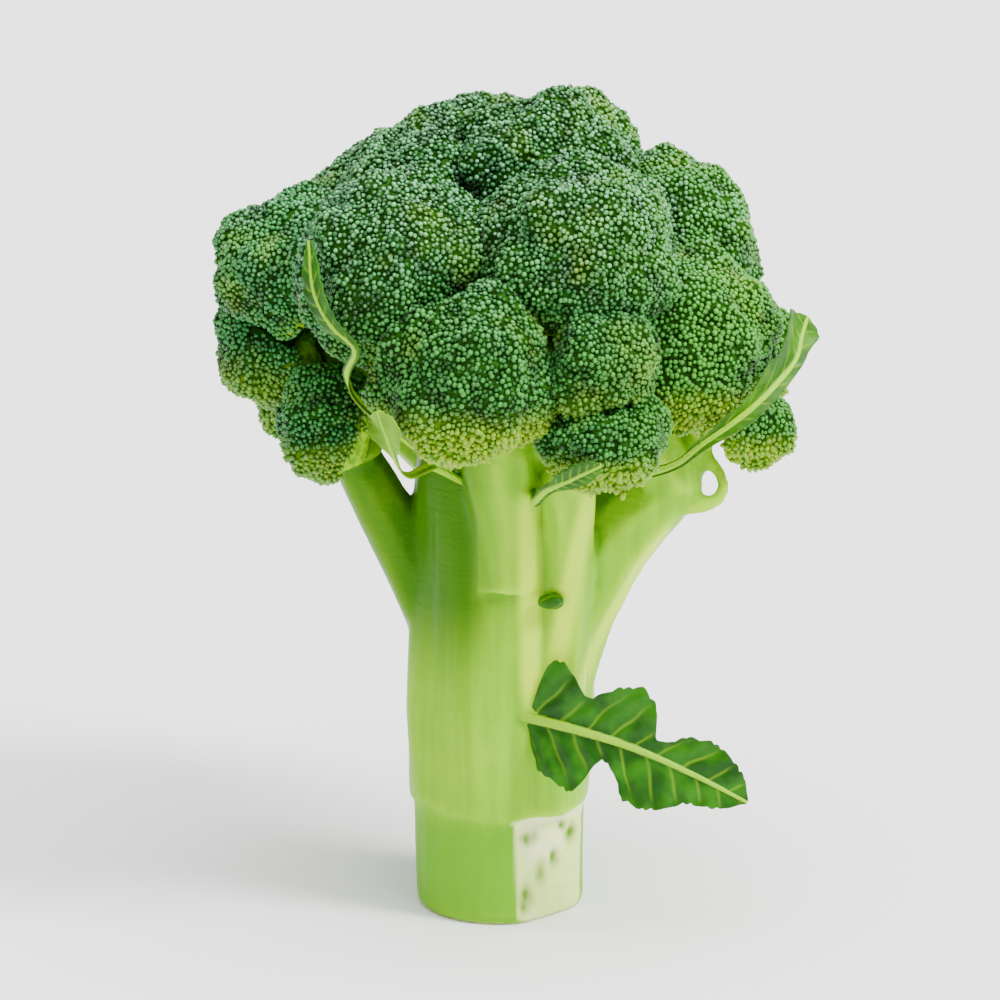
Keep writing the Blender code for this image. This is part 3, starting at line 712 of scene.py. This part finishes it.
# For each leaf, its points and outlines along the midrib, with distances and half widths on both sides of
# it, and: spread, which way the upper side lies; fold, in degrees; rib, its radius at the foot and the tip;
# veins, their pitch and lean; teeth and crinkle, their height and pitch; lime, how pale the blade is.
LEAVES = {
    "leaf_low_right": {
        "midrib": (
            (4.0, -17.0, 46.4), (16.5, -23.5, 45.0), (28, -26.5, 42), (40, -28.5, 37), (51, -30, 31.5),
        ),
        "spread": (0.12, 0.10, 1.0),
        "fold": 6,
        "rib": (1.25, 0.35),
        "veins": (5.2, 0.62),
        "teeth": (0.55, 2.3),
        "crinkle": (1.1, 5.5),
        "lime": 0.03,
        "upper": (
            (0, 1.4), (2.5, 1.6), (3.5, 8.0), (5.0, 13.0), (7.5, 13.4), (10.0, 10.5), (12.5, 6.8),
            (17.5, 11.2), (22.0, 13.0), (25.4, 9.8), (27.0, 3.4), (29.5, 3.8), (32.0, 6.6), (36.6, 8.0),
            (41.5, 6.7), (45.5, 4.4), (48.3, 0.5),
        ),
        "lower": (
            (0, 1.4), (2.5, 1.6), (3.5, 5.0), (6.0, 10.4), (10.5, 12.0), (13.5, 13.2), (16.0, 9.8),
            (17.5, 5.4), (19.0, 4.4), (22.0, 6.0), (25.4, 10.8), (30.0, 11.1), (34.3, 9.2), (37.5, 6.1),
            (41.5, 5.0), (45.5, 3.3), (48.3, 0.5),
        ),
    },
    "leaf_right": {
        "midrib": (
            (16, -13, 94), (29, -22.5, 99.5), (36, -29, 103.6), (41, -33.5, 108.8), (48.9, -34, 114.6),
            (54.6, -31, 119.2), (59.7, -24, 123.6), (61.4, -18.5, 127.8), (62.7, -14, 130.4),
        ),
        "spread": (-0.5, 0.4, 0.8),
        "fold": 12,
        "rib": (0.95, 0.4),
        "veins": (6.0, 1.2),
        "teeth": (0.2, 3.0),
        "crinkle": (0.6, 7.0),
        "lime": 0.15,
        "upper": (
            (0, 1.1), (22, 1.3), (30, 2.6), (36, 3.6), (40, 3.0), (46, 5.2), (54, 6.4), (62, 6.6), (69, 5.4),
            (74.6, 0.6),
        ),
        "lower": (
            (0, 1.1), (22, 1.3), (30, 1.6), (38, 2.4), (46, 2.2), (54, 1.8), (60, 2.0), (66, 3.6), (71, 3.2),
            (74.6, 0.6),
        ),
    },
    "leaf_left": {
        "midrib": (
            (-8, -11, 95), (-20, -21, 107), (-28, -30, 117), (-30.5, -39, 124.5), (-28.8, -44.6, 131),
            (-33.8, -42.6, 135.8), (-37, -39.8, 142), (-38, -35.5, 151),
        ),
        "spread": (-0.7, 0.7, -0.2),
        "fold": 0,
        "rib": (0.8, 0.35),
        "veins": (5.0, 1.4),
        "teeth": (0.3, 2.5),
        "crinkle": (0.4, 5.0),
        "lime": 0.06,
        "upper": ((0, 1.0), (46, 1.0), (52, 1.8), (60, 2.5), (68, 2.9), (75, 2.4), (80, 0.6)),
        "lower": ((0, 1.0), (46, 1.0), (52, 1.6), (60, 2.2), (68, 2.5), (75, 2.1), (80, 0.6)),
    },
    "bract_left": {
        "midrib": (
            (-6, -14, 95), (-14, -27.5, 102.5), (-17.5, -38, 105), (-20.5, -47, 109.5), (-22.5, -50.5, 115),
            (-23.5, -50.5, 120),
        ),
        "spread": (-0.5, 0.6, -0.6),
        "fold": 0,
        "rib": (0.9, 0.4),
        "veins": (1.9, 1.9),
        "teeth": (0.35, 1.7),
        "crinkle": (0.6, 3.0),
        "lime": 0.6,
        "upper": ((0, 1.0), (33, 1.1), (38, 3.4), (44, 4.6), (49, 3.6), (51.4, 0.9)),
        "lower": ((0, 1.0), (33, 1.1), (38, 3.0), (44, 4.2), (49, 3.4), (51.4, 0.9)),
    },
    "bract_low": {
        "midrib": ((7.2, -15, 94.5), (7, -35, 97), (9.5, -46, 102.5), (14, -51.5, 106), (20, -53.5, 109.5)),
        "spread": (-0.2, -0.5, 0.8),
        "fold": 0,
        "rib": (0.9, 0.3),
        "veins": (3.0, 1.3),
        "teeth": (0.2, 2.0),
        "crinkle": (0.4, 4.0),
        "lime": 0.1,
        "upper": ((0, 1.0), (27, 1.1), (33, 2.6), (39, 3.2), (44, 2.0), (46, 0.6)),
        "lower": ((0, 1.0), (27, 1.1), (33, 2.0), (39, 2.6), (44, 1.7), (46, 0.6)),
    },
}
CROWN_CLEARANCE = 3.4  # from a leaf to a floret's dome

# Cuticle over a thin blade: satin, deep green and crinkled between veins that are pale lime.
leaf_finish, tree, skin = plant_finish(
    "leaf cuticle", Roughness=0.4, IOR=1.4, Specular_IOR_Level=0.22, Subsurface_Weight=0.12,
    Subsurface_Scale=0.002,
)
place = add_node(tree, "ShaderNodeTexCoord").outputs["Object"]
patch = add_node(
    tree, "ShaderNodeTexNoise", {"Vector": place, "Scale": scale_for(5.9), "Detail": 3.0}
).outputs[0]
grit = add_node(
    tree, "ShaderNodeTexNoise", {"Vector": place, "Scale": scale_for(0.9), "Detail": 2.0}
).outputs[0]
vein = add_node(tree, "ShaderNodeAttribute", attribute_name="vein").outputs["Fac"]
lime = add_node(tree, "ShaderNodeAttribute", attribute_name="lime").outputs["Fac"]
pale = layered(tree, linear("539000"), (patch, 0.35, 0.65, 1.0, linear("86b80c")))
blade = layered(
    tree, linear("0c4202"),
    (patch, 0.35, 0.68, 1.0, linear("1c6404")),
    (lime, pale),
    (vein, linear("8cc000")),
)
tree.links.new(blade, skin.inputs["Base Color"])
dull = add_node(
    tree, "ShaderNodeMapRange",
    {"Value": grit, "From Min": 0.3, "From Max": 0.7, "To Min": 0.34, "To Max": 0.5},
    interpolation_type="SMOOTHSTEP",
).outputs["Result"]
tree.links.new(dull, skin.inputs["Roughness"])
bump = add_node(tree, "ShaderNodeBump", {"Height": grit, "Strength": 0.35, "Distance": 0.0002})
tree.links.new(bump.outputs[0], skin.inputs["Normal"])


def smooth_line(points, shares):
    """Points at shares of the way along a smooth line through the given points."""
    knots = np.array(points, float)
    knots = np.vstack([2 * knots[0] - knots[1], knots, 2 * knots[-1] - knots[-2]])
    at = np.clip(shares, 0, 1 - 1e-9) * (len(knots) - 3)
    step = at.astype(int)
    t = (at - step)[:, None]
    before, start, end, after = (knots[step + i] for i in range(4))
    second = before - start * 2.5 + end * 2 - after / 2
    third = (start - end) * 1.5 + (after - before) / 2
    return start + (end - before) / 2 * t + second * t**2 + third * t**3


def clear_of_plant(points):
    """Moves a leaf's points outwards until they clear the domes."""
    for _ in range(3):
        for x, y, z, radius in FLORETS.values():
            arms = points - np.array((x, y, z), float)
            reach = np.linalg.norm(arms, axis=-1, keepdims=True)
            points = points + arms / reach * np.maximum(radius + CROWN_CLEARANCE - reach, 0)
    return points


def blade_widths(outline, stations, teeth):
    """Half the blade's width at each station, with the corners eased and small teeth on the edge."""
    distances, widths = np.array(outline, float).T
    widths = np.interp(stations, distances, widths)
    for _ in range(3):
        widths[1:-1] = (widths[:-2] + 2 * widths[1:-1] + widths[2:]) / 4
    depth, pitch = teeth
    nicks = np.abs(np.sin(np.pi * stations / pitch + 0.8 * np.sin(stations)))
    return widths + depth * (nicks - 0.5) * ease(2.0, 5.0, widths)


def leaf_piece(name, leaf):
    """A blade as a fine grid on its midrib, with veins, crinkles and a thickness."""
    length = leaf["upper"][-1][0]
    stations = np.linspace(0, length, round(length / LEAF_GRAIN) + 1)
    line = smooth_line(leaf["midrib"], stations / length)
    ahead = np.gradient(line, axis=0)
    ahead /= np.linalg.norm(ahead, axis=1, keepdims=True)
    spread = np.array(leaf["spread"], float) - ahead * (ahead @ np.array(leaf["spread"], float))[:, None]
    spread /= np.linalg.norm(spread, axis=1, keepdims=True)
    lift = np.cross(ahead, spread)
    upper = blade_widths(leaf["upper"], stations, leaf["teeth"])
    lower = blade_widths(leaf["lower"], stations + 0.4, leaf["teeth"])
    half = max(6, round(max(upper.max(), lower.max()) / LEAF_GRAIN))
    columns = np.linspace(-1, 1, 2 * half + 1)
    across = np.where(columns > 0, upper[:, None], lower[:, None]) * columns

    fold = math.radians(leaf["fold"])
    tall, size = leaf["crinkle"]
    flat = np.stack([np.broadcast_to(stations[:, None], across.shape), across, 0 * across], -1)
    crinkle = mottle(flat.reshape(-1, 3), (size,) * 3, len(name) * 3.7).reshape(across.shape)
    crinkle *= tall * ease(0.15, 1.0, np.abs(columns)) * ease(1.5, 5.0, np.abs(across))
    pitch, lean = leaf["veins"]
    phase = (stations[:, None] - lean * np.abs(across)) / pitch + 0.5 * (columns > 0)
    phase += 0.16 * mottle(flat.reshape(-1, 3), (7, 5, 7), 4.1).reshape(across.shape)
    beside = np.abs(phase - np.round(phase)) * pitch / math.hypot(1, lean)
    side_vein = np.exp(-((beside / SIDE_VEIN_WIDTH) ** 2)) * ease(1.0, 0.5, np.abs(columns))
    crinkle -= PUCKER * np.cos(math.tau * phase) * ease(1.0, 4.0, np.abs(across))
    thick, thin = leaf["rib"]
    rib_radius = (thick + (thin - thick) * stations / length)[:, None]
    in_rib = np.clip(1 - (across / rib_radius) ** 2, 0, None)
    rise = np.abs(across) * math.sin(fold) + crinkle - SIDE_VEIN_SINK * side_vein
    sideways = spread[:, None] * (across * math.cos(fold))[..., None]
    places = line[:, None] + sideways + lift[:, None] * rise[..., None]
    sunk = smooth_line(leaf["midrib"], np.zeros(1))[0]
    free = ease(2.0, 6.0, np.linalg.norm(line - sunk, axis=1))[:, None, None]
    places += (clear_of_plant(places) - places) * free
    rib = np.sqrt(in_rib) * rib_radius * 0.75

    rows, width = across.shape
    faces = []
    top = np.arange(rows * width).reshape(rows, width)
    bottom = top + rows * width
    for i in range(rows - 1):
        for j in range(width - 1):
            faces.append((top[i, j], top[i + 1, j], top[i + 1, j + 1], top[i, j + 1]))
            faces.append((bottom[i, j], bottom[i, j + 1], bottom[i + 1, j + 1], bottom[i + 1, j]))
    edge = [(i, 0) for i in range(rows)] + [(rows - 1, j) for j in range(1, width)]
    edge += [(i, width - 1) for i in range(rows - 2, -1, -1)] + [(0, j) for j in range(width - 2, 0, -1)]
    for here, following in zip(edge, edge[1:] + edge[:1]):
        faces.append((top[here], bottom[here], bottom[following], top[following]))
    half_thick = BLADE_THICKNESS / 2 + rib + SIDE_VEIN_HEIGHT * side_vein
    over = places + lift[:, None] * half_thick[..., None]
    below = places - lift[:, None] * half_thick[..., None]
    mesh = bpy.data.meshes.new(name)
    whole = np.concatenate([over.reshape(-1, 3), below.reshape(-1, 3)]) * MM
    mesh.from_pydata(whole.tolist(), [], [tuple(int(corner) for corner in face) for face in faces])
    bm = bmesh.new()
    bm.from_mesh(mesh)
    bmesh.ops.recalc_face_normals(bm, faces=bm.faces)
    bm.to_mesh(mesh)
    bm.free()
    mesh.shade_smooth()
    vein = np.maximum(side_vein * 0.35, ease(0.0, 0.35, in_rib)).ravel()
    paint(mesh, "vein", np.tile(vein, 2))
    paint(mesh, "lime", np.full(2 * rows * width, leaf["lime"]))
    mesh.materials.append(leaf_finish)
    piece = bpy.data.objects.new(name + "_blade", mesh)
    bpy.context.scene.collection.objects.link(piece)
    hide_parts(name)
    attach(piece, "root")


for name, leaf in LEAVES.items():
    leaf_piece(name, leaf)

# The side bud
# A closed bud that sat in the axil of a lost leaf: a green egg of a few tight scales, on the ledge at
# the foot of the front limb.

SIDE_BUD_VOXEL = 0.3
SIDE_BUD_SMOOTHING = 4
SIDE_BUD_RELIEF = 0.28
SCALES_ROUND = 3

side_bud = merged_copy("side_bud", "side_bud_scales")
regrow(side_bud, SIDE_BUD_VOXEL, SIDE_BUD_SMOOTHING)
points, normals = points_and_normals(side_bud.data)
middle = points.mean(axis=0)
turn = np.arctan2(points[:, 2] - middle[2], points[:, 1] - middle[1])
scales = np.abs(np.sin(SCALES_ROUND / 2 * turn + (points[:, 0] - middle[0]) * 0.5))
points += normals * (SIDE_BUD_RELIEF * scales)[:, None]
place_points(side_bud.data, points)
paint(side_bud.data, "vein", ease(0.25, 0.0, scales) * 0.4)
paint(side_bud.data, "lime", np.full(len(points), 0.1))
side_bud.data.materials.append(leaf_finish)
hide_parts("side_bud")
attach(side_bud, "root")

# The floor, the lights and the camera
# A plain white table under large soft lights from above, with the camera 15 degrees above the table
# and far enough away that the head is seen almost without perspective.

TABLE_RADIUS = 4  # metres, so that its edge is never in the picture
SKY_STRENGTH = 0.75

# Matt laminate: flat white without gloss, so that only the soft shadow shows on it.
floor_finish, tree, skin = plant_finish("matt white laminate", Roughness=0.6)
skin.inputs["Base Color"].default_value = linear("f8f8f8")
bm = bmesh.new()
bmesh.ops.create_circle(bm, cap_ends=True, segments=64, radius=TABLE_RADIUS)
floor_mesh = bpy.data.meshes.new("table")
bm.to_mesh(floor_mesh)
bm.free()
floor_mesh.materials.append(floor_finish)
floor = bpy.data.objects.new("table", floor_mesh)
bpy.context.scene.collection.objects.link(floor)

world = bpy.data.worlds.new("white studio")
world.use_nodes = True
sky = world.node_tree.nodes["Background"]
sky.inputs["Color"].default_value = (1, 1, 1, 1)
sky.inputs["Strength"].default_value = SKY_STRENGTH
bpy.context.scene.world = world

# Two lamps far off: which way each lies, how wide it looks in degrees, and its strength.
for name, spot, width, power in (
    ("ceiling softbox", Vector((0.1, -0.15, 1.0)), 60, 5.0),
    ("right softbox", Vector((0.8, -0.4, 0.9)), 16, 5.0),
):
    softbox = bpy.data.lights.new(name, "SUN")
    softbox.energy = power
    softbox.angle = math.radians(width)
    lamp = bpy.data.objects.new(name, softbox)
    lamp.rotation_mode = "QUATERNION"
    lamp.rotation_quaternion = spot.to_track_quat("Z", "Y")
    bpy.context.scene.collection.objects.link(lamp)

CAMERA_TARGET = Vector((0, 0, 0.088))
CAMERA_DISTANCE = 1.1
CAMERA_ELEVATION = math.radians(15)
FRAME_WIDTH = 0.209  # what the picture takes in at the target
camera = bpy.data.objects.new("camera", bpy.data.cameras.new("camera"))
back = Vector((0, -math.cos(CAMERA_ELEVATION), math.sin(CAMERA_ELEVATION)))
camera.location = CAMERA_TARGET + back * CAMERA_DISTANCE
camera.rotation_mode = "QUATERNION"
camera.rotation_quaternion = back.to_track_quat("Z", "Y")
camera.data.lens = camera.data.sensor_width * CAMERA_DISTANCE / FRAME_WIDTH
bpy.context.scene.collection.objects.link(camera)
bpy.context.scene.camera = camera
